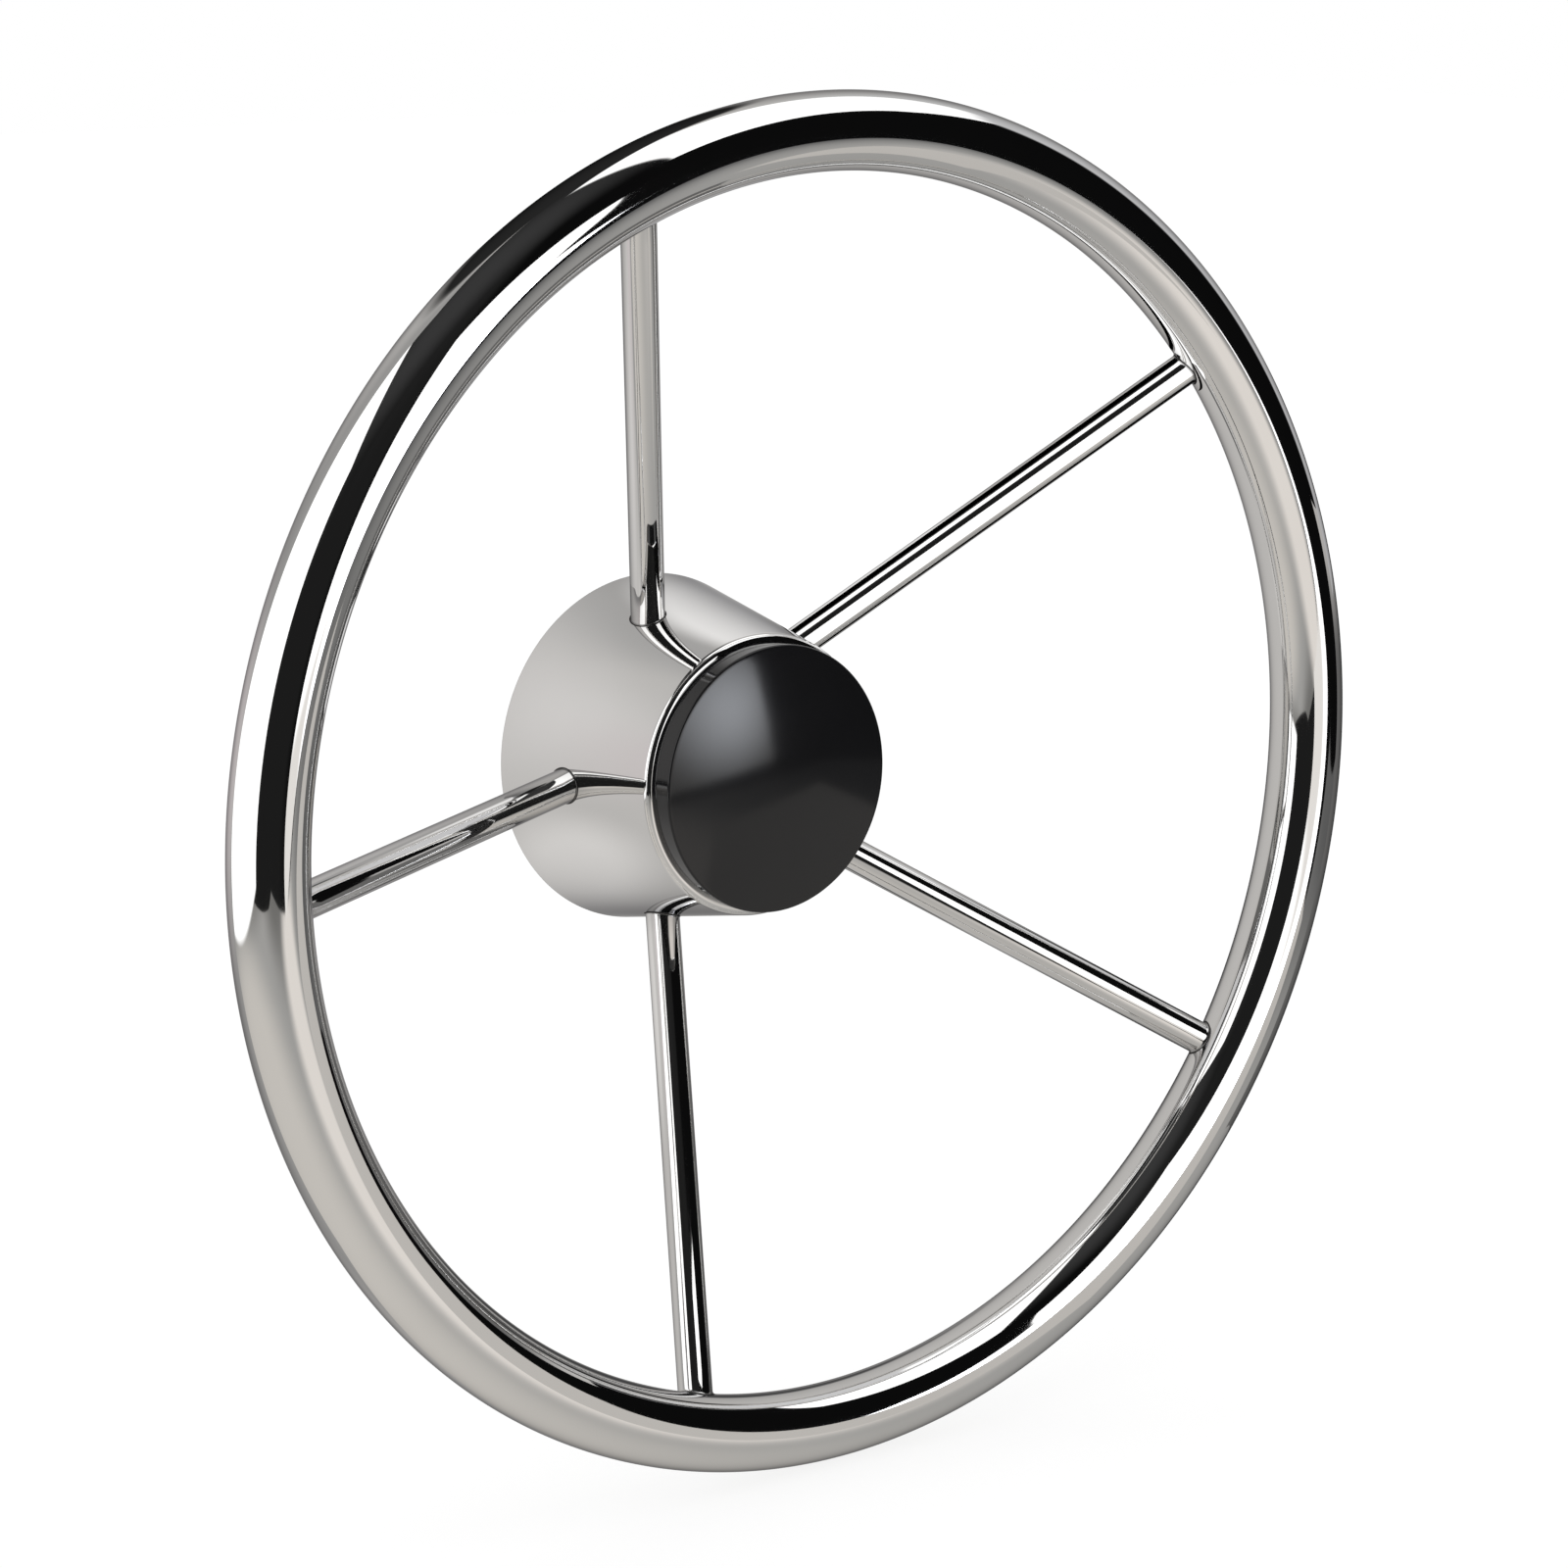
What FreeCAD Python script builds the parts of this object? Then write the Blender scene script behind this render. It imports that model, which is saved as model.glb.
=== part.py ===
import FreeCAD, Part
import math
import os

# Five-spoke stainless steering wheel of a boat, with a conical hub and a black centre cap.
# The wheel's axis lies along Y and its front faces -Y. The origin is the centre of the hub's
# back face, at the large end of the tapered bore, and a height is a distance in front of it.

# Rim
wheel_diameter = 394.0
rim_tube_diameter = 22.2
rim_tube_wall = 1.5

# Spokes
spoke_count = 5
spoke_diameter = 10.0
dish_angle = 25.0
first_spoke_angle = -21.0
spoke_height_at_boss = 14.8
spoke_socket_depth = 6.5

# Hub boss, with the tapered bore and keyway of a 3/4 in steering shaft
boss_diameter = 44.0
boss_length = 38.0
boss_edge_radius = 1.5
spigot_diameter = 36.0
spigot_chamfer = 0.6
bore_large_diameter = 19.05
bore_taper = 1.0 / 12.0
keyway_width = 4.8
keyway_depth = 2.0
nut_seat_diameter = 31.0
nut_seat_depth = 3.0

# Hub shell, a drawn cone whose front edge is rolled inwards to carry the cap
shell_back_diameter = 104.0
shell_length = 58.2
shell_thickness = 1.5
shell_back_setback = 1.0
shell_back_edge_radius = 0.6
lip_margin = 1.9
lip_radius = 2.2

# Back plate
plate_thickness = 2.5

# Centre cap
cap_diameter = 78.2
cap_side_height = 7.0
cap_side_draft = 0.1
cap_dome_height = 2.2
cap_edge_radius = 0.7
cap_seat_width = 3.1
cap_wall = 2.2
cap_skirt_length = 7.0
cap_skirt_wall = 1.8
cap_barb_reach = 0.6
cap_finger_count = 6
cap_finger_gap = 3.0

# Clearances
socket_clearance = 0.05
shell_hole_clearance = 0.1
plate_bore_clearance = 0.05
plate_edge_clearance = 0.1
cap_skirt_clearance = 0.15
cap_barb_clearance = 0.2

# Worked out from the sizes above
rim_tube_radius = rim_tube_diameter / 2
rim_radius = wheel_diameter / 2 - rim_tube_radius
spoke_radius = spoke_diameter / 2
boss_radius = boss_diameter / 2
dish = math.radians(dish_angle)
rim_height = spoke_height_at_boss + (rim_radius - boss_radius) * math.tan(dish)
shell_front_height = shell_back_setback + shell_length
mouth_radius = cap_diameter / 2 - cap_seat_width
plate_front_height = shell_back_setback + plate_thickness
wheel_axis = FreeCAD.Vector(0, -1, 0)


def point(radius, height, angle=90.0):
    """A point by its distance from the axis, its height and its angle clockwise from the top."""
    turn = math.radians(angle)
    return FreeCAD.Vector(radius * math.sin(turn), -height, radius * math.cos(turn))


def rounded_outline(corners):
    """A closed wire through (radius, height, rounding) corners, with tangent arcs."""
    spots = [point(radius, height) for radius, height, rounding in corners]
    stretches = []
    for i, (radius, height, rounding) in enumerate(corners):
        corner = spots[i]
        before = (spots[i - 1] - corner).normalize()
        after = (spots[(i + 1) % len(spots)] - corner).normalize()
        if rounding == 0:
            stretches.append((corner, corner, None))
            continue
        half_angle = before.getAngle(after) / 2
        reach = rounding / math.tan(half_angle)
        start = corner + before * reach
        end = corner + after * reach
        inward = (before + after).normalize()
        middle = corner + inward * (rounding / math.sin(half_angle) - rounding)
        stretches.append((start, end, Part.Arc(start, middle, end).toShape()))
    edges = []
    for i, (start, end, arc) in enumerate(stretches):
        if arc is not None:
            edges.append(arc)
        next_start = stretches[(i + 1) % len(stretches)][0]
        edges.append(Part.LineSegment(end, next_start).toShape())
    return Part.Wire(edges)


def turned(corners):
    """The solid that a rounded outline sweeps in one turn about the wheel's axis."""
    face = Part.Face(rounded_outline(corners))
    return face.revolve(FreeCAD.Vector(0, 0, 0), wheel_axis, 360)


def spoke_rod(radius, angle, start, end):
    """A round bar on a spoke's axis, from one distance from the wheel's axis to another."""
    slope = math.tan(dish)
    first = point(start, spoke_height_at_boss + (start - boss_radius) * slope, angle)
    last = point(end, spoke_height_at_boss + (end - boss_radius) * slope, angle)
    along = last - first
    return Part.makeCylinder(radius, along.Length, first, along)


def spoke_angles():
    return [first_spoke_angle + i * 360.0 / spoke_count for i in range(spoke_count)]


spoke_inner_end = boss_radius - spoke_socket_depth * math.cos(dish)


# Rim, one bent and welded tube
def make_rim():
    centre = point(0, rim_height)
    outside = Part.makeTorus(rim_radius, rim_tube_radius, centre, wheel_axis)
    inside = Part.makeTorus(rim_radius, rim_tube_radius - rim_tube_wall, centre, wheel_axis)
    return outside.cut(inside)


# Spoke, a straight rod whose outer end is coped to the round tube
def make_spoke(angle):
    rod = spoke_rod(spoke_radius, angle, spoke_inner_end, rim_radius)
    tube = Part.makeTorus(rim_radius, rim_tube_radius, point(0, rim_height), wheel_axis)
    return rod.cut(tube)


# Boss, turned from bar, with an angled socket for each spoke
def make_boss():
    boss = turned([
        (0, 0, 0),
        (spigot_diameter / 2 - spigot_chamfer, 0, 0),
        (spigot_diameter / 2, spigot_chamfer, 0),
        (spigot_diameter / 2, plate_front_height, 0),
        (boss_radius, plate_front_height, 0),
        (boss_radius, boss_length, boss_edge_radius),
        (nut_seat_diameter / 2, boss_length, 0),
        (nut_seat_diameter / 2, boss_length - nut_seat_depth, 0),
        (0, boss_length - nut_seat_depth, 0),
    ])
    bore_radius = bore_large_diameter / 2
    bore_end_radius = bore_radius - boss_length * bore_taper / 2
    bore = Part.makeCone(bore_radius, bore_end_radius, boss_length, point(0, 0), wheel_axis)
    keyway_height = bore_radius + keyway_depth
    keyway = Part.makeBox(keyway_width, boss_length, keyway_height)
    keyway.translate(FreeCAD.Vector(-keyway_width / 2, -boss_length, 0))
    keyway.rotate(FreeCAD.Vector(0, 0, 0), FreeCAD.Vector(0, 1, 0), first_spoke_angle)
    sockets = [
        spoke_rod(spoke_radius + socket_clearance, angle, spoke_inner_end, 2 * boss_radius)
        for angle in spoke_angles()
    ]
    return boss.cut([bore, keyway] + sockets)


# Shell, with a round hole for each spoke
shell_back_radius = shell_back_diameter / 2
lip_corner_radius = cap_diameter / 2 + lip_margin
shell_slope = math.atan2(shell_back_radius - lip_corner_radius, shell_length)


def shell_inner_radius(height):
    """The radius of the shell's inside at a height, away from its rolled lip."""
    outside = shell_back_radius - (height - shell_back_setback) * math.tan(shell_slope)
    return outside - shell_thickness / math.cos(shell_slope)


def make_shell():
    inner_front_height = shell_front_height - shell_thickness
    shell = turned([
        (shell_back_radius, shell_back_setback, shell_back_edge_radius),
        (lip_corner_radius, shell_front_height, lip_radius),
        (mouth_radius, shell_front_height, 0),
        (mouth_radius, inner_front_height, 0),
        (shell_inner_radius(inner_front_height), inner_front_height, lip_radius - shell_thickness),
        (shell_inner_radius(shell_back_setback), shell_back_setback, 0),
    ])
    holes = [
        spoke_rod(spoke_radius + shell_hole_clearance, angle, boss_radius, rim_radius)
        for angle in spoke_angles()
    ]
    return shell.cut(holes)


# Back plate, between the boss and the shell's back edge
def make_back_plate():
    inner = spigot_diameter / 2 + plate_bore_clearance
    outer = shell_inner_radius(plate_front_height) - plate_edge_clearance
    return turned([
        (inner, shell_back_setback, 0),
        (outer, shell_back_setback, 0),
        (outer, plate_front_height, 0),
        (inner, plate_front_height, 0),
    ])


# Centre cap, a domed moulding on snap fingers behind the shell's lip
def make_cap():
    base_radius = cap_diameter / 2
    edge_radius = base_radius - cap_side_draft
    edge_height = shell_front_height + cap_side_height
    crown_height = edge_height + cap_dome_height
    dome_radius = (edge_radius ** 2 + cap_dome_height ** 2) / (2 * cap_dome_height)
    dome_centre = point(0, crown_height - dome_radius)
    skirt_radius = mouth_radius - cap_skirt_clearance
    skirt_inside = skirt_radius - cap_skirt_wall
    skirt_end = shell_front_height - cap_skirt_length
    side = turned([
        (0, shell_front_height, 0),
        (base_radius, shell_front_height, 0),
        (edge_radius, edge_height, 0),
        (edge_radius, crown_height, 0),
        (0, crown_height, 0),
    ])
    body = side.common(Part.makeSphere(dome_radius, dome_centre))
    rim_edges = [
        edge for edge in body.Edges
        if abs(edge.BoundBox.YMin + edge_height) < cap_edge_radius / 10
        and abs(edge.BoundBox.XMax - edge_radius) < cap_edge_radius / 10
        and edge.BoundBox.YLength < cap_edge_radius / 10
    ]
    body = body.makeFillet(cap_edge_radius, rim_edges)
    hollow = Part.makeCylinder(skirt_inside, cap_side_height + cap_dome_height, point(0, shell_front_height),
                               wheel_axis)
    hollow = hollow.common(Part.makeSphere(dome_radius - cap_wall, dome_centre))
    barb_top = shell_front_height - shell_thickness - cap_barb_clearance
    barb_tip = mouth_radius + cap_barb_reach
    skirt = turned([
        (skirt_inside, shell_front_height, 0),
        (skirt_radius, shell_front_height, 0),
        (skirt_radius, barb_top, 0),
        (barb_tip, barb_top - cap_barb_reach, 0),
        (skirt_radius, skirt_end, 0),
        (skirt_inside, skirt_end, 0),
    ])
    gaps = []
    for i in range(cap_finger_count):
        gap = Part.makeBox(cap_finger_gap, cap_skirt_length, barb_tip)
        gap.translate(FreeCAD.Vector(-cap_finger_gap / 2, -shell_front_height, 0))
        gap.rotate(FreeCAD.Vector(0, 0, 0), FreeCAD.Vector(0, 1, 0), i * 360.0 / cap_finger_count)
        gaps.append(gap)
    return body.cut(hollow).fuse(skirt.cut(gaps)).removeSplitter()


nodes = {
    "rim": make_rim(),
    "hub_boss": make_boss(),
    "hub_shell": make_shell(),
    "hub_back_plate": make_back_plate(),
    "centre_cap": make_cap(),
}
for number, angle in enumerate(spoke_angles(), start=1):
    nodes[f"spoke_{number}"] = make_spoke(angle)

os.makedirs("parts", exist_ok=True)
for name, shape in nodes.items():
    shape.exportStep(f"parts/{name}.step")
    print(name, shape.isValid(), len(shape.Solids), round(shape.Volume))
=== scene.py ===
import math

import bmesh
import bpy
import numpy as np
from mathutils import Matrix, Vector


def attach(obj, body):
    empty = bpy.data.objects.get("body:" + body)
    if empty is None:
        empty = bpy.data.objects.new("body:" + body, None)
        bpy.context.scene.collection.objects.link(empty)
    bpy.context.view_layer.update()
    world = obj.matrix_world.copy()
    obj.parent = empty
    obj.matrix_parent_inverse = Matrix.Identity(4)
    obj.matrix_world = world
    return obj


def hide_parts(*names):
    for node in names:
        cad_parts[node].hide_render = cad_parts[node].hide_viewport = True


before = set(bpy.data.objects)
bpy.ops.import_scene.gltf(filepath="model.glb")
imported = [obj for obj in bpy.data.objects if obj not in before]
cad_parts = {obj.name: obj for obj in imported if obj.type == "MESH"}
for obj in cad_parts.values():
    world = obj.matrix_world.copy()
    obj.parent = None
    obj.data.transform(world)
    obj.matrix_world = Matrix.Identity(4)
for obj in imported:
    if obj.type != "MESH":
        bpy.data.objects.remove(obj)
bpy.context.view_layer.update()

# Sizes in metres, as in the solids: the wheel's axis is Y, its front faces -Y, and a height is a
# distance in front of the hub's back face
rim_radius = 0.1859
rim_tube = 0.0111
dish = math.radians(25.0)
spoke_tube = 0.005
spoke_height = 0.0148
socket_depth = 0.0065
spoke_turns = np.radians(-21.0 + 72.0 * np.arange(5))
boss_radius = 0.022
boss_length = 0.038
boss_edge = 0.0015
spigot_radius = 0.018
spigot_chamfer = 0.0006
bore_radius = 0.009525
bore_narrowing = 1 / 24
key_half = 0.0024
key_reach = bore_radius + 0.002
seat_radius = 0.0155
seat_height = 0.035
rim_height = spoke_height + (rim_radius - boss_radius) * math.tan(dish)
shell_back = (0.052, 0.001)
shell_lip = (0.041, 0.0592)
shell_wall = 0.0015
shell_back_edge = 0.0006
lip_rounding = 0.0022
shell_slope = math.atan2(shell_back[0] - shell_lip[0], shell_lip[1] - shell_back[1])
mouth_radius = 0.036
plate_front = 0.0035
plate_inner = 0.01805
plate_outer = 0.0499
plate_edge = 0.0002
cap_base = (0.0391, 0.0592)
cap_edge = (0.0390, 0.0662)
cap_crown = 0.0684
cap_rounding = 0.0007
cap_wall = 0.0022
skirt_outer = 0.03585
skirt_inner = 0.03405
skirt_end = 0.0522
barb_top = 0.0575
barb_tip = (0.0366, 0.0569)
finger_count = 6
finger_gap = 0.003
rim_weld_width = 0.0009
foot_weld_width = 0.0006
joint_width = 0.0004

# How finely the pieces are divided, and how their meshes are joined and shaded
cone_steps = 256
hub_steps = 192
merge_distance = 1e-7
shortest_edge = 1e-8
edge_support = 0.0002
plain_crease = 30.0
rod_crease = 50.0


# Surfaces
def joined_surface(name, patches, crease=plain_crease):
    """One mesh from grids of points. A grid's first side closes on itself where it is marked so,
    and equal points of all the grids are merged."""
    points = []
    quads = []
    first = 0
    for grid, closed in patches:
        rows, columns = grid.shape[:2]
        index = first + np.arange(rows * columns).reshape(rows, columns)
        beside = np.roll(index, -1, axis=0) if closed else index[1:]
        here = index if closed else index[:-1]
        corners = [here[:, :-1], beside[:, :-1], beside[:, 1:], here[:, 1:]]
        quads.append(np.stack(corners, -1).reshape(-1, 4))
        points.append(grid.reshape(-1, 3))
        first += rows * columns
    mesh = bpy.data.meshes.new(name)
    mesh.from_pydata(np.concatenate(points), [], np.concatenate(quads))
    shape = bmesh.new()
    shape.from_mesh(mesh)
    bmesh.ops.remove_doubles(shape, verts=shape.verts, dist=merge_distance)
    bmesh.ops.dissolve_degenerate(shape, edges=shape.edges, dist=shortest_edge)
    bmesh.ops.recalc_face_normals(shape, faces=shape.faces)
    shape.to_mesh(mesh)
    shape.free()
    mesh.shade_smooth()
    mesh.set_sharp_from_angle(angle=math.radians(crease))
    piece = bpy.data.objects.new(name, mesh)
    bpy.context.scene.collection.objects.link(piece)
    return piece


def outward(turn):
    """Unit vectors away from the wheel's axis at angles clockwise from the top: (sin, 0, cos)."""
    turn = np.asarray(turn)
    return np.stack([np.sin(turn), np.zeros_like(turn), np.cos(turn)], -1)


def along(turn):
    """Unit vectors along the rim at the same angles: (cos, 0, -sin)."""
    turn = np.asarray(turn)
    return np.stack([np.cos(turn), np.zeros_like(turn), -np.sin(turn)], -1)


def rounded(corners, arc_steps=10):
    """A closed outline of (radius, height, rounding) corners. Each rounding is an arc tangent to
    both sides: from its centre, (sin((1-v)a) A + sin(va) B) / sin a, with its ends A and B and its
    angle a. Each straight side gets a point close to either end, which keeps its shading flat."""
    line = []
    spots = [np.array(corner[:2]) for corner in corners]
    for i, (radius, height, rounding) in enumerate(corners):
        here = spots[i]
        before = spots[i - 1] - here
        after = spots[(i + 1) % len(spots)] - here
        before = before / np.linalg.norm(before)
        after = after / np.linalg.norm(after)
        if rounding == 0:
            arc = here[None]
        else:
            half = math.acos(np.clip(before @ after, -1, 1)) / 2
            middle = (before + after) / np.linalg.norm(before + after)
            centre = here + middle * rounding / math.sin(half)
            start = here + before * rounding / math.tan(half) - centre
            end = here + after * rounding / math.tan(half) - centre
            sweep = math.pi - 2 * half
            share = np.linspace(0, 1, arc_steps + 1)[:, None]
            swept = np.sin((1 - share) * sweep) * start + np.sin(share * sweep) * end
            arc = centre + swept / math.sin(sweep)
        first = arc[:1] + before * edge_support
        last = arc[-1:] + after * edge_support
        line.append(np.concatenate([first, arc, last]))
    return np.concatenate(line)


def turned(line, turns, closed_line=True):
    """An outline of (radius, height) points carried round the wheel's axis through the angles."""
    if closed_line:
        line = np.concatenate([line, line[:1]])
    points = outward(turns)[:, None] * line[None, :, :1]
    points[..., 1] = -line[None, :, 1]
    return points


def full_turn(steps):
    return np.linspace(0, 2 * np.pi, steps, endpoint=False)


# Rim: a circle of the tube's radius carried round the rim's circle
def rim_surface(steps_round=512, steps_tube=96):
    """Point (t, s) = outward(t) * (R + r cos s), at height h + r sin s."""
    t = full_turn(steps_round)[:, None]
    s = np.linspace(0, 2 * np.pi, steps_tube + 1)[None]
    points = outward(t) * (rim_radius + rim_tube * np.cos(s))[..., None]
    points[..., 1] = -(rim_height + rim_tube * np.sin(s))
    return points, True


# Spokes: rods that end on the rim's tube and pass through the hub's cone
def distance_from_rim(points):
    """How far points are outside the rim's tube."""
    from_circle = np.hypot(points[..., 0], points[..., 2]) - rim_radius
    return np.hypot(from_circle, points[..., 1] + rim_height) - rim_tube


def distance_from_cone(points):
    """How far points are outside the hub's cone, square to its side."""
    side = shell_back[0] - (-points[..., 1] - shell_back[1]) * math.tan(shell_slope)
    return (np.hypot(points[..., 0], points[..., 2]) - side) * math.cos(shell_slope)


def slope_of(distance, points):
    """The unit direction in which a distance grows fastest, by small steps along X, Y and Z."""
    step = 1e-6
    grown = [distance(points + step * way) - distance(points - step * way) for way in np.eye(3)]
    away = np.stack(grown, -1)
    return away / np.linalg.norm(away, axis=-1, keepdims=True)


def crossing(distance, start, direction, low, high, halvings=40):
    """For each line, the length along it at which the distance changes sign, by halving."""
    low = np.full(len(start), low)
    high = np.full(len(start), high)
    sign = np.sign(distance(start + low[:, None] * direction))
    for _ in range(halvings):
        middle = (low + high) / 2
        same = np.sign(distance(start + middle[:, None] * direction)) == sign
        low = np.where(same, middle, low)
        high = np.where(same, high, middle)
    return (low + high) / 2


def weld(distance, corner, inward, normal, width, steps=7):
    """The small hollow of a polished weld: a curve from the rod to the surface it meets, tangent
    to both, through (1-v)^2 A + 2v(1-v) C + v^2 B, where C is the corner, and A and B lie a width
    from it, B a little inside the surface."""
    away = slope_of(distance, corner)
    aside = normal - (normal * away).sum(-1, keepdims=True) * away
    aside = aside / np.linalg.norm(aside, axis=-1, keepdims=True)
    start = corner + inward * width
    end = corner + aside * width
    sink = 2e-5
    end = end - away * (distance(end) + sink)[:, None]
    v = np.linspace(0, 1, steps)[None, :, None]
    middle = corner[:, None]
    return (1 - v) ** 2 * start[:, None] + 2 * v * (1 - v) * middle + v ** 2 * end[:, None]


def spoke_frame(turn):
    """A spoke's axis: its start at the boss, its direction, and two directions across it, one
    towards the wheel's front and outwards, and one along the rim."""
    out = outward(turn)
    axis = out * math.cos(dish) + np.array([0, -math.sin(dish), 0])
    across = along(turn)
    origin = out * boss_radius + np.array([0, -spoke_height, 0])
    return origin, axis, np.cross(axis, across), across


def spoke_surface(turn, steps_round=64, steps_long=24):
    """A rod of round section along the spoke's axis, from its socket in the boss to the rim. Its
    outer end follows the curve in which it meets the tube. A weld runs round it and its foot."""
    origin, axis, up, across = spoke_frame(turn)
    angle = full_turn(steps_round)[:, None]
    normal = np.cos(angle) * up + np.sin(angle) * across
    start = origin + spoke_tube * normal
    full = (rim_radius - boss_radius) / math.cos(dish)
    near_rim = full - 0.03
    near_foot = (0.01, 0.06)
    at_rim = crossing(distance_from_rim, start, axis, near_rim, full)
    at_foot = crossing(distance_from_cone, start, axis, *near_foot)
    rim_corner = start + at_rim[:, None] * axis
    foot_corner = start + at_foot[:, None] * axis
    rim_weld = weld(distance_from_rim, rim_corner, -axis, normal, rim_weld_width)
    foot_weld = weld(distance_from_cone, foot_corner, axis, normal, foot_weld_width)
    socket = start - socket_depth * axis
    socket_pole = np.broadcast_to(origin - socket_depth * axis, start.shape)[:, None]
    rim_pole = np.broadcast_to(origin + full * axis, start.shape)[:, None]
    share = np.linspace(0, 1, steps_long)[None, :, None]
    depth_under_cone = 0.0005
    under_cone = (foot_corner - depth_under_cone * axis)[:, None]
    inner = socket[:, None] * (1 - share) + under_cone * share
    outer = foot_weld[:, :1] * (1 - share) + rim_weld[:, :1] * share
    parts = [socket_pole, inner, foot_weld[:, ::-1], outer, rim_weld, rim_pole]
    return np.concatenate(parts, axis=1), True


def mark_joints(rod):
    """The attribute "joint", exp(-(d / w)^2) of a point's distance d from the tube or the cone:
    1 along the rod's two joints, and almost 0 a millimetre away from them."""
    points = np.empty(len(rod.data.vertices) * 3)
    rod.data.vertices.foreach_get("co", points)
    points = points.reshape(-1, 3)
    nearest = np.minimum(np.abs(distance_from_rim(points)), np.abs(distance_from_cone(points)))
    joint = rod.data.attributes.new("joint", "FLOAT", "POINT")
    joint.data.foreach_set("value", np.exp(-(nearest / joint_width) ** 2))


# Hub: the cone with its rolled lip, and the plate behind it
def cone_outline():
    """The cone's section: its straight outside, the rolled lip, the mouth and the inside."""
    inner_gap = shell_wall / math.cos(shell_slope)
    inner_front = shell_lip[1] - shell_wall
    narrowing = (inner_front - shell_back[1]) * math.tan(shell_slope)
    front_radius = shell_back[0] - narrowing - inner_gap
    return rounded([
        (*shell_back, shell_back_edge),
        (*shell_lip, lip_rounding),
        (mouth_radius, shell_lip[1], 0),
        (mouth_radius, inner_front, 0),
        (front_radius, inner_front, lip_rounding - shell_wall),
        (shell_back[0] - inner_gap, shell_back[1], 0),
    ])


def plate_outline():
    """The plate's section: a flat ring with its outer back edge slightly rounded."""
    return rounded([
        (plate_inner, shell_back[1], 0),
        (plate_outer, shell_back[1], plate_edge),
        (plate_outer, plate_front, 0),
        (plate_inner, plate_front, 0),
    ])


# Cap: a dome that turns over a small rounding into the side, hollow inside, on six snap fingers
def cap_outline(dome_steps=60, edge_steps=16, hollow_steps=24):
    """The cap's section from the crown outwards: a circle of the dome's radius, an arc tangent to
    it and to the leaning side, the side, the seat, and the hollow under the dome."""
    rise = cap_crown - cap_edge[1]
    dome_radius = (cap_edge[0] ** 2 + rise ** 2) / (2 * rise)
    dome_centre = cap_crown - dome_radius
    lean = math.atan2(cap_base[0] - cap_edge[0], cap_edge[1] - cap_base[1])
    upward = np.array([-math.sin(lean), math.cos(lean)])
    sideways = np.array([math.cos(lean), math.sin(lean)])
    offset_side = np.array(cap_base) - sideways * cap_rounding
    to_side = offset_side - np.array([0, dome_centre])
    inner = dome_radius - cap_rounding
    half = to_side @ upward
    climb = -half + math.sqrt(half ** 2 - to_side @ to_side + inner ** 2)
    centre = offset_side + upward * climb
    dome_end = math.asin(centre[0] / inner)
    spread = np.linspace(0, dome_end, dome_steps)
    dome_heights = dome_centre + dome_radius * np.cos(spread)
    dome = np.stack([dome_radius * np.sin(spread), dome_heights], -1)
    bend = np.linspace(dome_end, math.pi / 2 - lean, edge_steps)
    edge = centre + cap_rounding * np.stack([np.sin(bend), np.cos(bend)], -1)
    side = np.array([
        edge[-1] - upward * edge_support,
        np.array(cap_base) + upward * edge_support,
        cap_base,
        (skirt_inner, cap_base[1]),
    ])
    hollow_radius = dome_radius - cap_wall
    hollow_end = math.asin(skirt_inner / hollow_radius)
    under = np.linspace(hollow_end, 0, hollow_steps)
    hollow_heights = dome_centre + hollow_radius * np.cos(under)
    hollow = np.stack([hollow_radius * np.sin(under), hollow_heights], -1)
    return np.concatenate([dome, edge[1:], side, hollow])


def finger(number, steps=24):
    """A snap finger: its section, with the barb, carried through its share of the turn less a gap,
    and closed by the section's fan at either end."""
    line = np.array([
        (skirt_inner, cap_base[1]),
        (skirt_outer, cap_base[1]),
        (skirt_outer, barb_top),
        barb_tip,
        (skirt_outer, skirt_end),
        (skirt_inner, skirt_end),
    ])
    share = 2 * math.pi / finger_count
    gap = finger_gap / skirt_outer / 2
    turns = np.linspace(number * share + gap, (number + 1) * share - gap, steps)
    walls = turned(line, turns)
    middle = np.broadcast_to(walls[:, :-1].mean(axis=1, keepdims=True), walls.shape)
    ends = [np.stack([walls[i], middle[i]]) for i in (0, -1)]
    return [(walls, False), (ends[0], False), (ends[1], False)]


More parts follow.
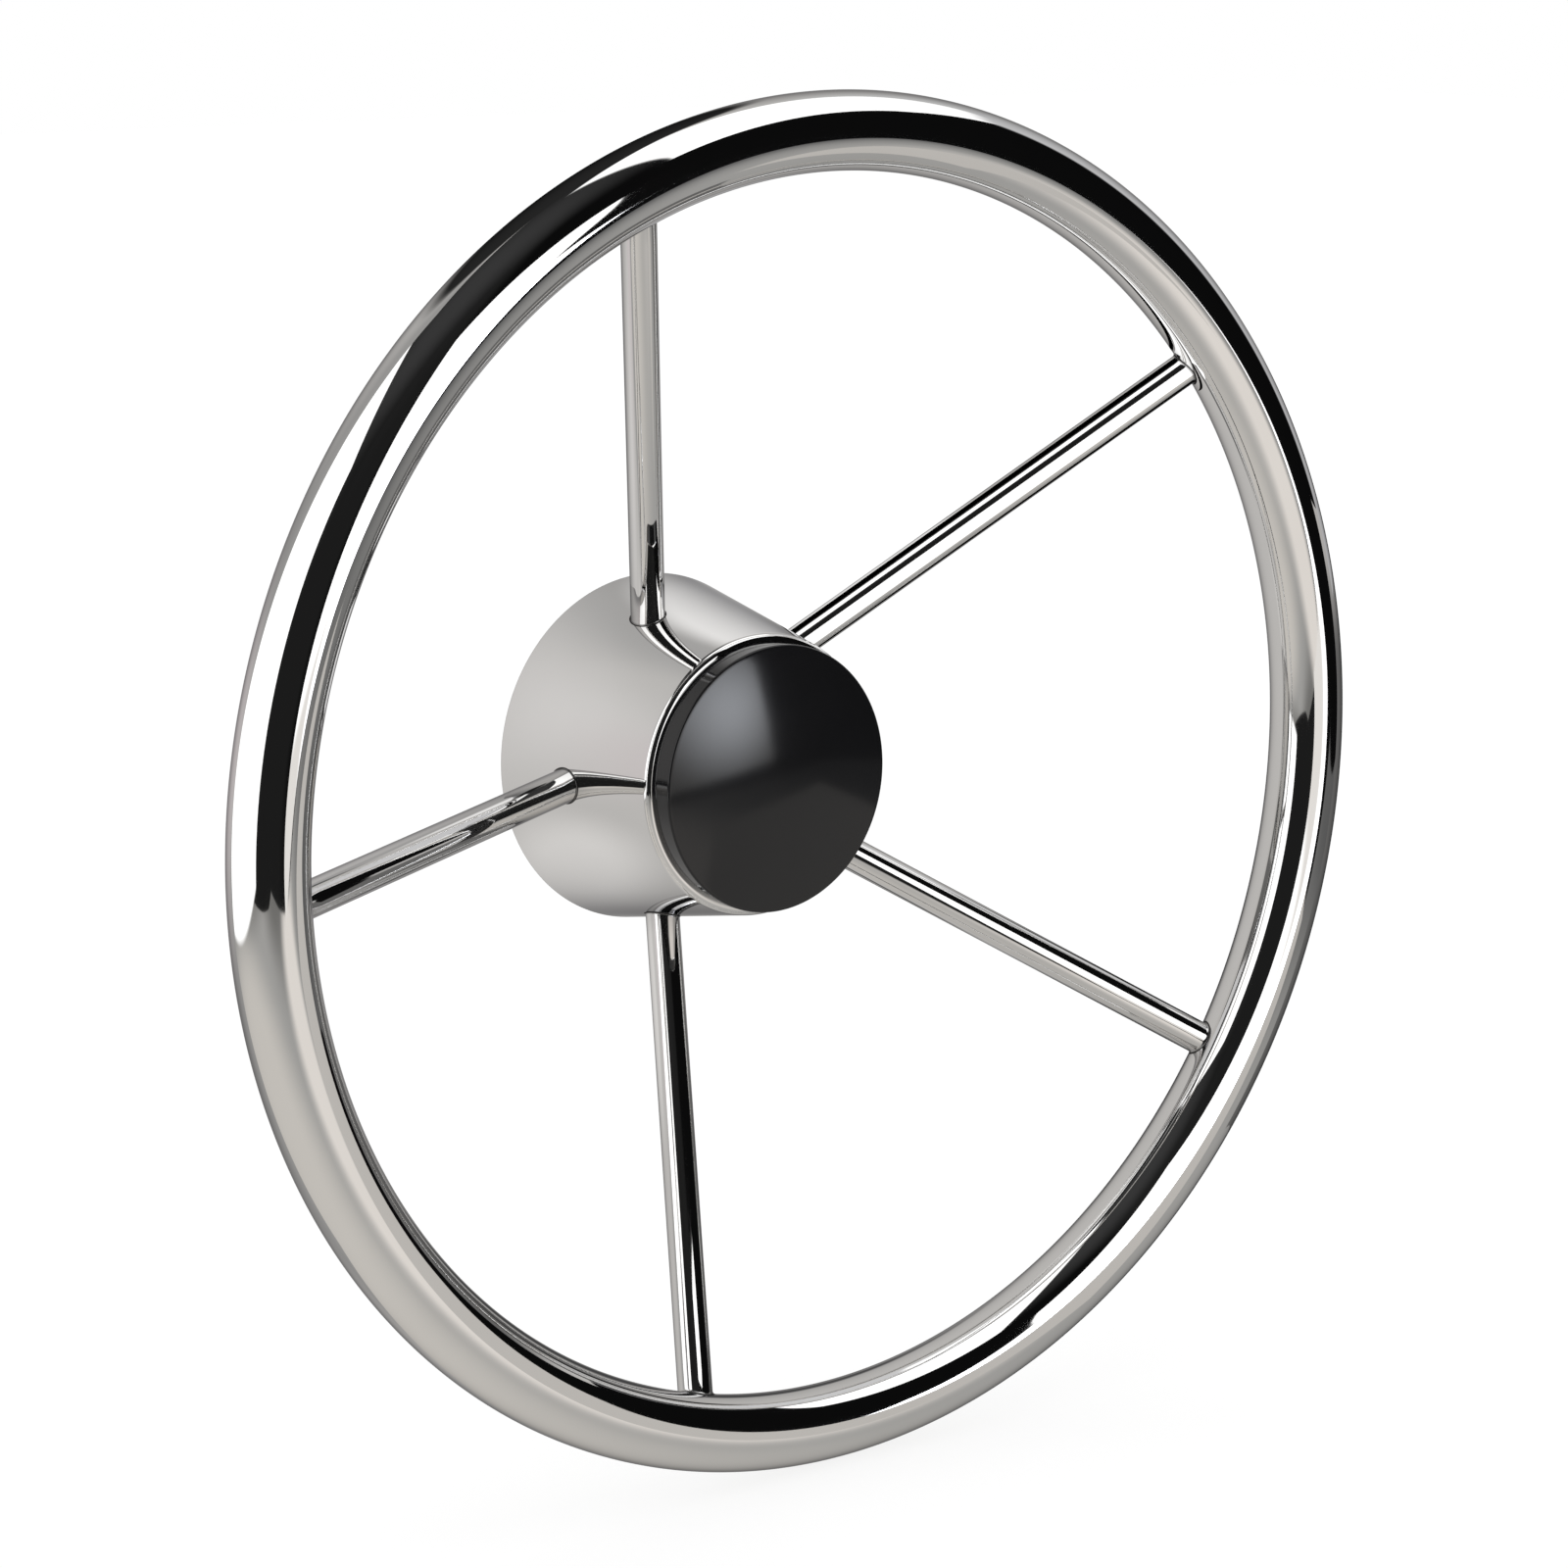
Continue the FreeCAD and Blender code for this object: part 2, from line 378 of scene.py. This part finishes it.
# Boss: its outside turned, and its bore with the keyway carried along the taper
def boss_surfaces(bore_points=120, key_points=12, bore_steps=12, edge_steps=6):
    """The outside is an outline turned about the axis. The bore's section is a circle that the
    keyway widens to straight walls, and the circle shrinks by 1 in 12 along the bore."""
    edge = math.asin(key_half / bore_radius)
    far_edge = math.atan2(key_half, key_reach)
    around = np.concatenate([
        np.linspace(edge, 2 * np.pi - edge, bore_points),
        np.linspace(-far_edge, far_edge, key_points),
    ])
    in_key = np.arange(len(around)) >= bore_points
    heights = np.linspace(0, seat_height, bore_steps)
    radius = bore_radius - heights[None] * bore_narrowing
    wall = np.where(in_key[:, None], key_reach / np.cos(around)[:, None], radius)
    turns = around + spoke_turns[0]
    bore = outward(turns)[:, None] * wall[..., None]
    bore[..., 1] = -heights[None]
    back_edge = outward(turns) * (spigot_radius - spigot_chamfer)
    seat_edge = outward(turns) * seat_radius + np.array([0, -seat_height, 0])
    back_face = np.stack([back_edge, bore[:, 0]], 1)
    seat_face = np.stack([bore[:, -1], seat_edge], 1)
    bend = np.linspace(0, math.pi / 2, edge_steps)
    front_edge = np.stack([
        boss_radius - boss_edge + boss_edge * np.cos(bend),
        boss_length - boss_edge + boss_edge * np.sin(bend),
    ], -1)
    line = np.concatenate([
        [(spigot_radius - spigot_chamfer, 0), (spigot_radius, spigot_chamfer)],
        [(spigot_radius, plate_front), (boss_radius, plate_front)],
        front_edge,
        [(seat_radius, boss_length), (seat_radius, seat_height)],
    ])
    outside = turned(line, turns, closed_line=False)
    return [(outside, True), (bore, True), (back_face, True), (seat_face, True)]


def finish_piece(piece, material, node):
    """Gives a piece its material, lets it ride on the wheel and stand for its solid."""
    piece.data.materials.append(material)
    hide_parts(node)
    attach(piece, "root")


# Materials

# Where a Mix node has its two colours and their mix, and its two numbers and theirs
colour_a, colour_b, mixed_colour = 6, 7, 2
number_a, number_b, mixed_number = 2, 3, 0


def add(tree, kind, **values):
    """A node, with its properties and, by their names after in_, its inputs' values."""
    node = tree.nodes.new(kind)
    for key, value in values.items():
        if key.startswith("in_"):
            node.inputs[key[3:].replace("_", " ")].default_value = value
        else:
            setattr(node, key, value)
    return node


def new_material(name):
    material = bpy.data.materials.new(name)
    material.use_nodes = True
    tree = material.node_tree
    tree.nodes.clear()
    return material, tree


def new_group(name, inputs, outputs):
    """An empty node group with named sockets, and its two end nodes."""
    tree = bpy.data.node_groups.new(name, "ShaderNodeTree")
    for label, kind in inputs:
        tree.interface.new_socket(label, in_out="INPUT", socket_type=kind)
    for label, kind in outputs:
        tree.interface.new_socket(label, in_out="OUTPUT", socket_type=kind)
    return tree, tree.nodes.new("NodeGroupInput"), tree.nodes.new("NodeGroupOutput")


def clouded_finish():
    """A finish that drifts slowly over a surface between two colours and two roughnesses."""
    tree, given, result = new_group(
        "clouded finish",
        [("Place", "NodeSocketVector"), ("Scale", "NodeSocketFloat"),
         ("Dark", "NodeSocketColor"), ("Light", "NodeSocketColor"),
         ("Smooth", "NodeSocketFloat"), ("Rough", "NodeSocketFloat")],
        [("Colour", "NodeSocketColor"), ("Roughness", "NodeSocketFloat")])
    cloud = add(tree, "ShaderNodeTexNoise", in_Detail=4.0)
    tree.links.new(given.outputs["Place"], cloud.inputs["Vector"])
    tree.links.new(given.outputs["Scale"], cloud.inputs["Scale"])
    colour = add(tree, "ShaderNodeMix", data_type="RGBA")
    tree.links.new(cloud.outputs["Fac"], colour.inputs[0])
    tree.links.new(given.outputs["Dark"], colour.inputs[colour_a])
    tree.links.new(given.outputs["Light"], colour.inputs[colour_b])
    rough = add(tree, "ShaderNodeMapRange")
    tree.links.new(cloud.outputs["Fac"], rough.inputs["Value"])
    tree.links.new(given.outputs["Smooth"], rough.inputs["To Min"])
    tree.links.new(given.outputs["Rough"], rough.inputs["To Max"])
    tree.links.new(colour.outputs[mixed_colour], result.inputs["Colour"])
    tree.links.new(rough.outputs["Result"], result.inputs["Roughness"])
    return tree


def soft_pool():
    """A soft round patch: 1 within a core about its centre, falling smoothly to 0 at its reach."""
    tree, given, result = new_group(
        "soft pool",
        [("Place", "NodeSocketVector"), ("Centre", "NodeSocketVector"),
         ("Reach", "NodeSocketVector"), ("Core", "NodeSocketFloat")],
        [("Mask", "NodeSocketFloat")])
    offset = add(tree, "ShaderNodeVectorMath", operation="SUBTRACT")
    tree.links.new(given.outputs["Place"], offset.inputs[0])
    tree.links.new(given.outputs["Centre"], offset.inputs[1])
    scaled = add(tree, "ShaderNodeVectorMath", operation="DIVIDE")
    tree.links.new(offset.outputs[0], scaled.inputs[0])
    tree.links.new(given.outputs["Reach"], scaled.inputs[1])
    away = add(tree, "ShaderNodeVectorMath", operation="LENGTH")
    tree.links.new(scaled.outputs[0], away.inputs[0])
    fade = add(tree, "ShaderNodeMapRange", interpolation_type="SMOOTHSTEP", in_From_Min=1.0)
    tree.links.new(away.outputs["Value"], fade.inputs["Value"])
    tree.links.new(given.outputs["Core"], fade.inputs["From Max"])
    tree.links.new(fade.outputs["Result"], result.inputs["Mask"])
    return tree


clouded = clouded_finish()
pool = soft_pool()
joint_tone = (0.03, 0.028, 0.027)
joint_roughness = 0.35


def darkened_joints(tree, colour, roughness):
    """A colour and a roughness that turn dark and matt where the piece's attribute "joint" is 1."""
    joint = add(tree, "ShaderNodeAttribute", attribute_name="joint")
    tone = add(tree, "ShaderNodeMix", data_type="RGBA")
    tone.inputs[colour_b].default_value = (*joint_tone, 1)
    polish = add(tree, "ShaderNodeMix", data_type="FLOAT")
    polish.inputs[number_b].default_value = joint_roughness
    tree.links.new(joint.outputs["Fac"], tone.inputs[0])
    tree.links.new(joint.outputs["Fac"], polish.inputs[0])
    tree.links.new(colour, tone.inputs[colour_a])
    tree.links.new(roughness, polish.inputs[number_a])
    return tone.outputs[mixed_colour], polish.outputs[mixed_number]


def finished(name, scale, dark, light, smooth, rough, relief, relief_scale, relief_depth,
             joints=False, **shader):
    """A material of the clouded finish with a fine relief, a noise in space ("waves") or rings
    about the wheel's axis ("rings"). With joints it turns dark along a rod's two joints."""
    material, tree = new_material(name)
    link = tree.links.new
    place = add(tree, "ShaderNodeTexCoord")
    cloud = add(tree, "ShaderNodeGroup", node_tree=clouded, in_Scale=scale, in_Dark=(*dark, 1),
                in_Light=(*light, 1), in_Smooth=smooth, in_Rough=rough)
    link(place.outputs["Object"], cloud.inputs["Place"])
    if relief == "rings":
        flat = add(tree, "ShaderNodeVectorMath", operation="MULTIPLY")
        flat.inputs[1].default_value = (1, 0, 1)
        link(place.outputs["Object"], flat.inputs[0])
        radius = add(tree, "ShaderNodeVectorMath", operation="LENGTH")
        link(flat.outputs[0], radius.inputs[0])
        grain = add(tree, "ShaderNodeTexNoise", noise_dimensions="1D", in_Scale=relief_scale,
                    in_Detail=3.0)
        link(radius.outputs["Value"], grain.inputs["W"])
    else:
        grain = add(tree, "ShaderNodeTexNoise", in_Scale=relief_scale, in_Detail=1.0)
        link(place.outputs["Object"], grain.inputs["Vector"])
    bump = add(tree, "ShaderNodeBump", in_Strength=1.0, in_Distance=relief_depth)
    link(grain.outputs["Fac"], bump.inputs["Height"])
    surface = add(tree, "ShaderNodeBsdfPrincipled", **shader)
    colour, roughness = cloud.outputs["Colour"], cloud.outputs["Roughness"]
    if joints:
        colour, roughness = darkened_joints(tree, colour, roughness)
    link(colour, surface.inputs["Base Color"])
    link(roughness, surface.inputs["Roughness"])
    link(bump.outputs["Normal"], surface.inputs["Normal"])
    out = add(tree, "ShaderNodeOutputMaterial")
    link(surface.outputs[0], out.inputs["Surface"])
    return material


polish = {
    "scale": 30.0, "dark": (0.90, 0.895, 0.885), "light": (0.95, 0.946, 0.94),
    "smooth": 0.02, "rough": 0.05,
    "relief": "waves", "relief_scale": 15.0, "relief_depth": 0.00007,
    "in_Metallic": 1.0, "in_Specular_Tint": (0.35, 0.35, 0.36, 1),
}
polished_steel = finished("polished stainless steel", **polish)
welded_rod = finished("polished rod with welded joints", joints=True, **polish)
turned_steel = finished(
    "turned stainless steel", scale=120.0, dark=(0.60, 0.59, 0.575), light=(0.72, 0.71, 0.70),
    smooth=0.18, rough=0.34, relief="rings", relief_scale=4000.0, relief_depth=0.00001,
    in_Metallic=1.0)
black_plastic = finished(
    "black moulded plastic", scale=45.0, dark=(0.0055, 0.0055, 0.006),
    light=(0.008, 0.008, 0.0088), smooth=0.07, rough=0.10, relief="waves", relief_scale=60.0,
    relief_depth=0.00001)


# The wheel
cap_patches = [(turned(cap_outline(), full_turn(hub_steps), closed_line=False), True)]
for number in range(finger_count):
    cap_patches += finger(number)
hub_and_rim = [
    ("rim_tube", [rim_surface()], polished_steel, "polished_steel", "rim"),
    ("hub_cone", [(turned(cone_outline(), full_turn(cone_steps)), True)],
     polished_steel, "polished_steel", "hub_shell"),
    ("hub_plate", [(turned(plate_outline(), full_turn(hub_steps)), True)],
     turned_steel, "machined_steel", "hub_back_plate"),
    ("hub_centre", boss_surfaces(), turned_steel, "machined_steel", "hub_boss"),
    ("hub_cap", cap_patches, black_plastic, "black_plastic", "centre_cap"),
]
for name, patches, material, slot, node in hub_and_rim:
    finish_piece(joined_surface(name, patches), material, node)
for number, turn in enumerate(spoke_turns, start=1):
    rod = joined_surface(f"spoke_rod_{number}", [spoke_surface(turn)], crease=rod_crease)
    mark_joints(rod)
    finish_piece(rod, welded_rod, f"spoke_{number}")


# Studio: a dark room with lit panels, a table top and boards, which only mirrored rays see
def hide_from_all_but_mirrors(card):
    card.visible_camera = False
    card.visible_diffuse = False
    card.visible_shadow = False


def stage_card(name, corners, material, mirrored_only=True):
    """A flat card through its corners. One with four has a UV map from its first to its third."""
    mesh = bpy.data.meshes.new(name)
    mesh.from_pydata(corners, [], [tuple(range(len(corners)))])
    layer = mesh.uv_layers.new(name="card")
    if len(corners) == 4:
        layer.data.foreach_set("uv", np.array([0, 0, 1, 0, 1, 1, 0, 1], float))
    mesh.materials.append(material)
    card = bpy.data.objects.new(name, mesh)
    bpy.context.scene.collection.objects.link(card)
    if mirrored_only:
        hide_from_all_but_mirrors(card)
    return card


def tone_over(tree, place, tone, pools):
    """A colour that starts as one tone and is blended to each pool's tone inside its mask."""
    colour = None
    for centre, reach, core, target in pools:
        mask = add(tree, "ShaderNodeGroup", node_tree=pool, in_Centre=centre, in_Reach=reach,
                   in_Core=core)
        tree.links.new(place, mask.inputs["Place"])
        blend = add(tree, "ShaderNodeMix", data_type="RGBA")
        blend.inputs[colour_b].default_value = (*target, 1)
        tree.links.new(mask.outputs["Mask"], blend.inputs[0])
        if colour is None:
            blend.inputs[colour_a].default_value = (*tone, 1)
        else:
            tree.links.new(colour, blend.inputs[colour_a])
        colour = blend.outputs[mixed_colour]
    return colour


def lit_card(name, tone, pools=(), border=None):
    """Light of one tone with softer or brighter pools, each of them (centre, reach, core, tone). A
    border, (width, height, how wide the fade is), fades the card out at its edges."""
    material, tree = new_material(name)
    link = tree.links.new
    place = add(tree, "ShaderNodeTexCoord")
    light = add(tree, "ShaderNodeEmission", in_Color=(*tone, 1))
    if pools:
        link(tone_over(tree, place.outputs["Object"], tone, pools), light.inputs["Color"])
    out = add(tree, "ShaderNodeOutputMaterial")
    if border is None:
        link(light.outputs[0], out.inputs["Surface"])
        return material
    width, height, fade_width = border
    uv = add(tree, "ShaderNodeUVMap", uv_map="card")
    centred = add(tree, "ShaderNodeVectorMath", operation="SUBTRACT")
    centred.inputs[1].default_value = (0.5, 0.5, 0)
    link(uv.outputs[0], centred.inputs[0])
    size = add(tree, "ShaderNodeVectorMath", operation="ABSOLUTE")
    link(centred.outputs[0], size.inputs[0])
    inset = add(tree, "ShaderNodeVectorMath", operation="MULTIPLY_ADD")
    inset.inputs[1].default_value = (-width, -height, 0)
    inset.inputs[2].default_value = (width / 2, height / 2, 0)
    link(size.outputs[0], inset.inputs[0])
    parts = add(tree, "ShaderNodeSeparateXYZ")
    link(inset.outputs[0], parts.inputs[0])
    nearest = add(tree, "ShaderNodeMath", operation="MINIMUM")
    link(parts.outputs[0], nearest.inputs[0])
    link(parts.outputs[1], nearest.inputs[1])
    fade = add(tree, "ShaderNodeMapRange", interpolation_type="SMOOTHSTEP",
               in_From_Max=fade_width)
    link(nearest.outputs[0], fade.inputs["Value"])
    clear = add(tree, "ShaderNodeBsdfTransparent")
    mix = add(tree, "ShaderNodeMixShader")
    link(fade.outputs["Result"], mix.inputs[0])
    link(clear.outputs[0], mix.inputs[1])
    link(light.outputs[0], mix.inputs[2])
    link(mix.outputs[0], out.inputs["Surface"])
    return material


def rectangle(centre, yaw, pitch, width, height):
    """The corners of a card that faces the given yaw and pitch in degrees."""
    yaw, pitch = math.radians(yaw), math.radians(pitch)
    level = math.cos(pitch)
    facing = np.array([math.sin(yaw) * level, -math.cos(yaw) * level, math.sin(pitch)])
    side = np.array([math.cos(yaw), math.sin(yaw), 0])
    up = np.cross(facing, side)
    up = up if up[2] > 0 else -up
    centre = np.array(centre)
    side = side * width / 2
    up = up * height / 2
    return [centre - side - up, centre + side - up, centre + side + up, centre - side + up]


def upright(start, end, foot, top):
    """The corners of an upright card over the line from start to end."""
    return [(*start, foot), (*end, foot), (*end, top), (*start, top)]


def level_square(half, height):
    """The corners of a level square about the wheel's middle."""
    return [(x * half, y * half, height) for x, y in [(-1, -1), (1, -1), (1, 1), (-1, 1)]]


def rod_card(name, turn, low, high, tone, reach=0.008, start=0.024, end=0.175, steps=12):
    """A strip of a tube about a spoke's axis, between two angles in degrees round it and two
    lengths along it: axis point + reach * (cos(angle) * up + sin(angle) * across)."""
    origin, axis, up, across = spoke_frame(turn)
    angle = np.radians(np.linspace(low, high, steps))[:, None, None]
    length = np.array([start, end])[None, :, None]
    grid = origin + length * axis + reach * (np.cos(angle) * up + np.sin(angle) * across)
    card = joined_surface(name, [(grid, False)])
    card.data.materials.append(lit_card(name, tone))
    hide_from_all_but_mirrors(card)


# Each panel's centre, yaw, pitch, width, height, tone and fade
everywhere = 1000.0
white = (1.3, 1.3, 1.3)
black = (0, 0, 0)
panels = {
    "left_panel": ((-0.764, -0.057, 0.347), -118.7, 5.5, 1.11, 1.14, white, 0.02),
    "overhead_panel": ((0.773, -0.443, 1.083), 26.8, 124.3, 1.16, 1.88, white, 0.02),
    "side_panel": ((0.40, -0.03, 0.18), 86.6, 31.7, 0.18, 0.46, (0.62, 0.62, 0.63), 0.03),
}
for name, (centre, yaw, pitch, width, height, tone, fade) in panels.items():
    light = lit_card(name, tone, border=(width, height, fade))
    stage_card(name, rectangle(centre, yaw, pitch, width, height), light)

# The front panel leans over the table's far side, and is wider and dimmer at its foot
front_centre = np.array([0.258, -1.054, 0.288])
front_side = np.array([0.9664, -0.2571, 0])
front_up = np.array([-0.0888, -0.3337, 0.9386])
front_outline = [
    (-0.35, -0.50), (0.388, -0.50), (0.388, -0.28), (0.22, -0.15), (0.22, 0.38), (-0.35, 0.38),
]
front_light = lit_card("front_panel", white, [
    ((0, 0, -0.30), (everywhere, everywhere, 0.27), 0.8, (0.80, 0.775, 0.745)),
    ((0.53, 0, -0.054), (0.28, everywhere, 0.17), 0.0, (6.1, 6.3, 6.7)),
])
front_corners = [front_centre + a * front_side + b * front_up for a, b in front_outline]
stage_card("front_panel", front_corners, front_light)

# The table top glows with painted light, palest in front of the wheel, with painted pools of light
# and shade. A low block with a painted glow of one tone stands on it to the right
table_height = -0.30
table_light = lit_card("table_top", (0.36, 0.355, 0.345), [
    ((-0.45, 0.05, 0), (0.75, 0.75, everywhere), 0.3, (0.58, 0.555, 0.52)),
    ((1.7, 0, 0), (1.25, everywhere, everywhere), 0.45, (0.11, 0.11, 0.11)),
    ((-1.7, 0, 0), (0.8, everywhere, everywhere), 0.4, (0.21, 0.205, 0.195)),
    ((-0.60, -1.35, 0), (1.0, 0.75, everywhere), 0.2, (0.17, 0.167, 0.16)),
    ((0.15, -0.95, 0), (0.50, 0.75, everywhere), 0.45, (0.76, 0.72, 0.68)),
])
table_outline = [
    (-1.45, -0.30), (-0.80, -1.08), (-0.75, -1.30), (0.02, -1.30), (0.60, -1.32), (1.20, -1.32),
    (1.38, -0.70), (1.80, -0.10), (0.90, 0.25), (0.30, 0.60), (-0.20, 0.90), (-1.45, 0.90),
]
stage_card("table_top", [(x, y, table_height) for x, y in table_outline], table_light)
block_place = 0.30
block_outline = [
    (-0.64, -0.185), (-0.53, -0.145), (-0.375, -0.09), (-0.27, -0.10), (-0.25, -0.14),
    (-0.25, table_height), (-0.64, table_height),
]
block_light = lit_card("low_block", (0.52, 0.50, 0.475))
stage_card("low_block", [(block_place, y, z) for y, z in block_outline], block_light)

# The grey boards stand behind the hub and to its right. Their glow is painted light, and their
# lighter and darker patches are painted pools of light and shade
board_light = lit_card("grey_board", (0.515, 0.503, 0.49), [
    ((-0.55, 0, 0), (0.42, everywhere, everywhere), 0.8, (0.33, 0.325, 0.32)),
    ((-0.02, 0, 0.20), (0.06, everywhere, 0.28), 0.2, (0.40, 0.395, 0.39)),
    ((-0.10, 0, 0.04), (0.10, everywhere, 0.09), 0.0, (0.66, 0.645, 0.635)),
    ((0.40, 0, -0.2), (0.30, everywhere, 0.26), 0.75, (0.14, 0.138, 0.136)),
    ((0.45, 0, 0.45), (0.42, everywhere, 0.40), 0.5, (0.63, 0.63, 0.63)),
    ((0.05, 0, 0.09), (0.06, everywhere, 0.06), 0.5, (0.96, 0.95, 0.94)),
    ((-0.05, 0, -0.07), (0.07, everywhere, 0.05), 0.3, (0.70, 0.685, 0.67)),
    ((-0.20, 0, 0.02), (0.12, everywhere, 0.10), 0.2, (0.60, 0.56, 0.56)),
    ((0.34, 0, 0.01), (0.09, everywhere, 0.12), 0.7, (0.02, 0.02, 0.02)),
    ((-0.02, 0, 0.18), (0.09, everywhere, 0.045), 0.5, (0.03, 0.03, 0.03)),
    ((-0.06, 0, 0.33), (0.13, everywhere, 0.17), 0.8, (0.02, 0.02, 0.02)),
    ((0.05, 0, -0.135), (0.07, everywhere, 0.035), 0.5, (0.12, 0.12, 0.12)),
])
board_left = (-0.26, 0.012)
board_corner = (0.50, 0.012)
board_front = (0.50, -0.20)
back_top = 0.45
side_top = 0.06
stage_card("back_board", upright(board_left, board_corner, table_height, back_top), board_light)
stage_card("side_board", upright(board_corner, board_front, table_height, side_top), board_light)

# Strips close round the upper right rod, which mirrors them as painted reflections: white and black
# lines on that rod. Each has its name, its two angles round the rod and its tone
for name, low, high, tone in [
    ("rod_white", 159, 212, white),
    ("rod_white_line", -122, -104, white),
    ("rod_black_line", -97, -63, black),
    ("rod_black_edge", 106, 128, black),
]:
    rod_card(name, spoke_turns[1], low, high, tone)

# The dark room, whose floor lies just under the table top. Its faint glow is painted light,
# brighter towards the left and up towards the ceiling on the left
room_light = lit_card("dark_room", (0.0035, 0.0035, 0.0036), [
    ((-3.0, 0, 0), (3.3, everywhere, everywhere), 0.8, (0.012, 0.012, 0.012)),
    ((-1.2, -0.5, 3.0), (3.0, 3.0, 3.0), 0.1, (0.04, 0.04, 0.0405)),
])
room_half = 3.0
gap_under_table = 0.0001
room_floor = table_height - gap_under_table
room_corners = [corner[:2] for corner in level_square(room_half, room_floor)]
for i, corner in enumerate(room_corners):
    wall = upright(corner, room_corners[(i + 1) % 4], room_floor, room_half)
    stage_card(f"room_wall_{i + 1}", wall, room_light)
stage_card("room_ceiling", level_square(room_half, room_half), room_light)
stage_card("room_floor", level_square(room_half, room_floor), room_light)


# The floor is pale and keeps the wheel's shadow
def pale_floor():
    """A matt grey that the world lights, and a light of its own that makes it white."""
    material, tree = new_material("pale floor")
    matt = add(tree, "ShaderNodeBsdfDiffuse", in_Color=(0.22, 0.22, 0.22, 1))
    own = add(tree, "ShaderNodeEmission", in_Strength=0.81)
    both = add(tree, "ShaderNodeAddShader")
    out = add(tree, "ShaderNodeOutputMaterial")
    tree.links.new(matt.outputs[0], both.inputs[0])
    tree.links.new(own.outputs[0], both.inputs[1])
    tree.links.new(both.outputs[0], out.inputs["Surface"])
    return material


floor_height = -0.1975
floor_half = 6.0
floor_corners = level_square(floor_half, floor_height)
floor = stage_card("floor", floor_corners, pale_floor(), mirrored_only=False)
floor.visible_glossy = False

world = bpy.data.worlds.new("studio")
bpy.context.scene.world = world
world.use_nodes = True
tree = world.node_tree
tree.nodes.clear()
sky = add(tree, "ShaderNodeBackground", in_Color=(1, 1, 1, 1), in_Strength=1.0)
end = add(tree, "ShaderNodeOutputWorld")
tree.links.new(sky.outputs[0], end.inputs["Surface"])

# Camera: its place, and the direction from what it sees back to it
place = Vector((-0.78887, -1.08604, 0.25744))
back = Vector((-0.60094, -0.77468, 0.19682)).normalized()
right = Vector((0, 0, 1)).cross(back).normalized()
above = back.cross(right)
lens = bpy.data.cameras.new("view")
lens.lens = 105.1
lens.sensor_width = 36.0
lens.clip_start = 0.01
camera = bpy.data.objects.new("view", lens)
camera.matrix_world = Matrix((
    (right.x, above.x, back.x, place.x),
    (right.y, above.y, back.y, place.y),
    (right.z, above.z, back.z, place.z),
    (0, 0, 0, 1),
))
bpy.context.scene.collection.objects.link(camera)
bpy.context.scene.camera = camera
bpy.context.scene.view_settings.view_transform = "Standard"
